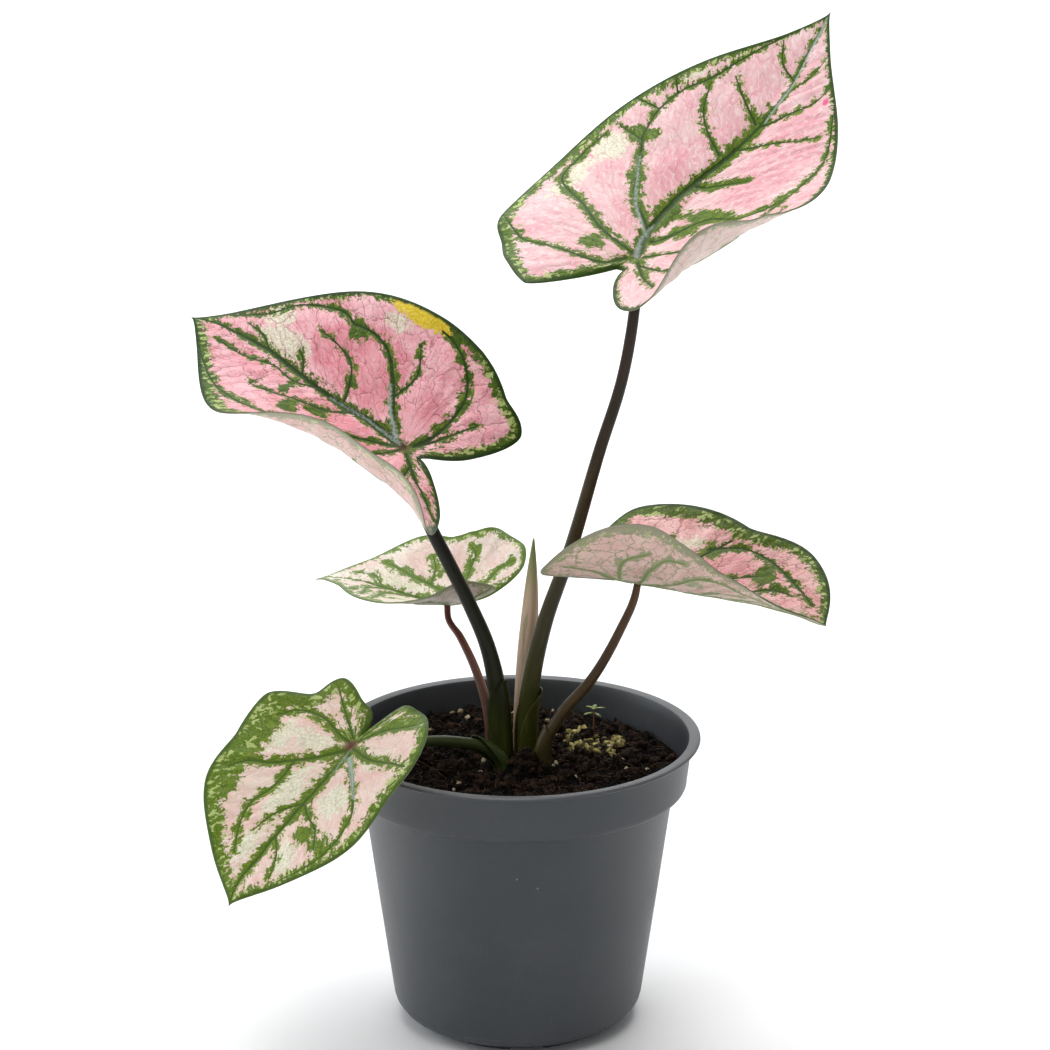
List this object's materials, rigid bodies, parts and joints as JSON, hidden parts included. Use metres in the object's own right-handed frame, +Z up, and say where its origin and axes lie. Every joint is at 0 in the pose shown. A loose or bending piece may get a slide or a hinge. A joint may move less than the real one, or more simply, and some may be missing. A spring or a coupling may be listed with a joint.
{
  "type": "potted caladium",
  "caption": "Young caladium with pink and green heart-shaped leaves on bent stems, growing in soil in a round dark plastic nursery pot.",
  "frame": {"origin": "middle of the pot's foot, on the surface it stands on", "axes": "+Z up along the pot's axis and the plant's height; -Y is the side the plant is seen from, +X to the right"},
  "size_m": [0.2085, 0.1464, 0.329],
  "materials": {
    "pot": "matte",
    "soil": "matte",
    "blade_1": "satin",
    "blade_2": "satin",
    "blade_3": "satin",
    "blade_4": "satin",
    "blade_5": "satin",
    "petiole_1": "satin",
    "petiole_2": "satin",
    "petiole_3": "satin",
    "petiole_4": "satin",
    "petiole_5": "satin",
    "spear": "satin"
  },
  "bodies": {
    "root": {"pot": "pot", "soil": "soil", "blade_1": "blade_1", "blade_2": "blade_2", "blade_3": "blade_3", "blade_4": "blade_4", "blade_5": "blade_5", "petiole_1": "petiole_1", "petiole_2": "petiole_2", "petiole_3": "petiole_3", "petiole_4": "petiole_4", "petiole_5": "petiole_5", "spear": "spear"}
  },
  "joints": []
}
